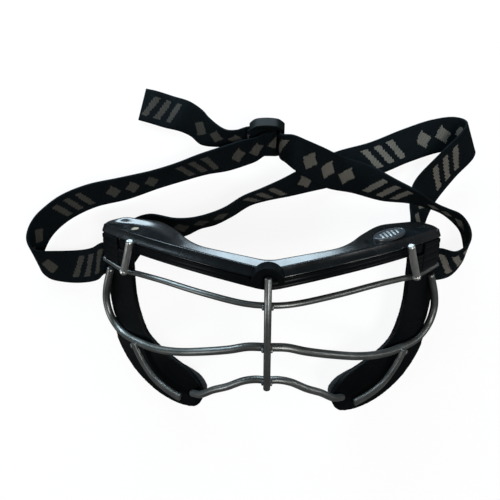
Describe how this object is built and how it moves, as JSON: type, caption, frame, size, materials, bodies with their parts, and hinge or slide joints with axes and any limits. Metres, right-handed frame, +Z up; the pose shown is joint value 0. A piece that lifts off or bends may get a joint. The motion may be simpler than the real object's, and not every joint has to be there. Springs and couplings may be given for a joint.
{
  "type": "lacrosse goggles",
  "caption": "Wire-cage lacrosse goggles with a padded brow, curved side shields with cheek pads and an elastic head strap with a slider, lying face up.",
  "frame": {"origin": "on the table, under the middle of the whole object's outline, with the goggles lying face up on the rear corners of their arms and on their cheek pads", "axes": "+X to the right of the picture (the wearer's left), +Y away from the chin towards the strap's slider, +Z up from the table"},
  "size_m": [0.2442, 0.175, 0.08],
  "materials": {
    "wire_graphite": "satin graphite grey wire with welded joints",
    "gloss_black": "moulded, glossy black",
    "satin_black": "moulded, satin black",
    "slider_black": "moulded, satin black with rounded edges",
    "badge_grey": "plain dark grey oval insert",
    "foam_black": "soft closed-cell foam with a fabric face",
    "webbing": null
  },
  "bodies": {
    "goggles_and_strap": {"upper_wire": "wire_graphite", "middle_wire": "wire_graphite", "lower_wire": "wire_graphite", "center_bar": "wire_graphite", "left_post": "wire_graphite", "right_post": "wire_graphite", "left_cheek_bar": "wire_graphite", "right_cheek_bar": "wire_graphite", "bridge_hood": "gloss_black", "brow_cap": "gloss_black", "brow_rail": "gloss_black", "oval_badge": "badge_grey", "left_temple_block": "gloss_black", "right_temple_block": "gloss_black", "left_side_frame": "satin_black", "right_side_frame": "satin_black", "brow_pad": "foam_black", "left_cheek_pad": "foam_black", "right_cheek_pad": "foam_black", "strap_left_run": "webbing", "strap_back_run": "webbing", "strap_right_run": "webbing"},
    "slider": {"strap_slider": "slider_black", "strap_sewn_end": "webbing"}
  },
  "joints": [
    {"name": "slider_slide", "type": "slide", "parent": "goggles_and_strap", "child": "slider", "axis": [1, 0, 0], "range_m": [-0.012, 0], "deforming": ["strap_left_run"]}
  ]
}
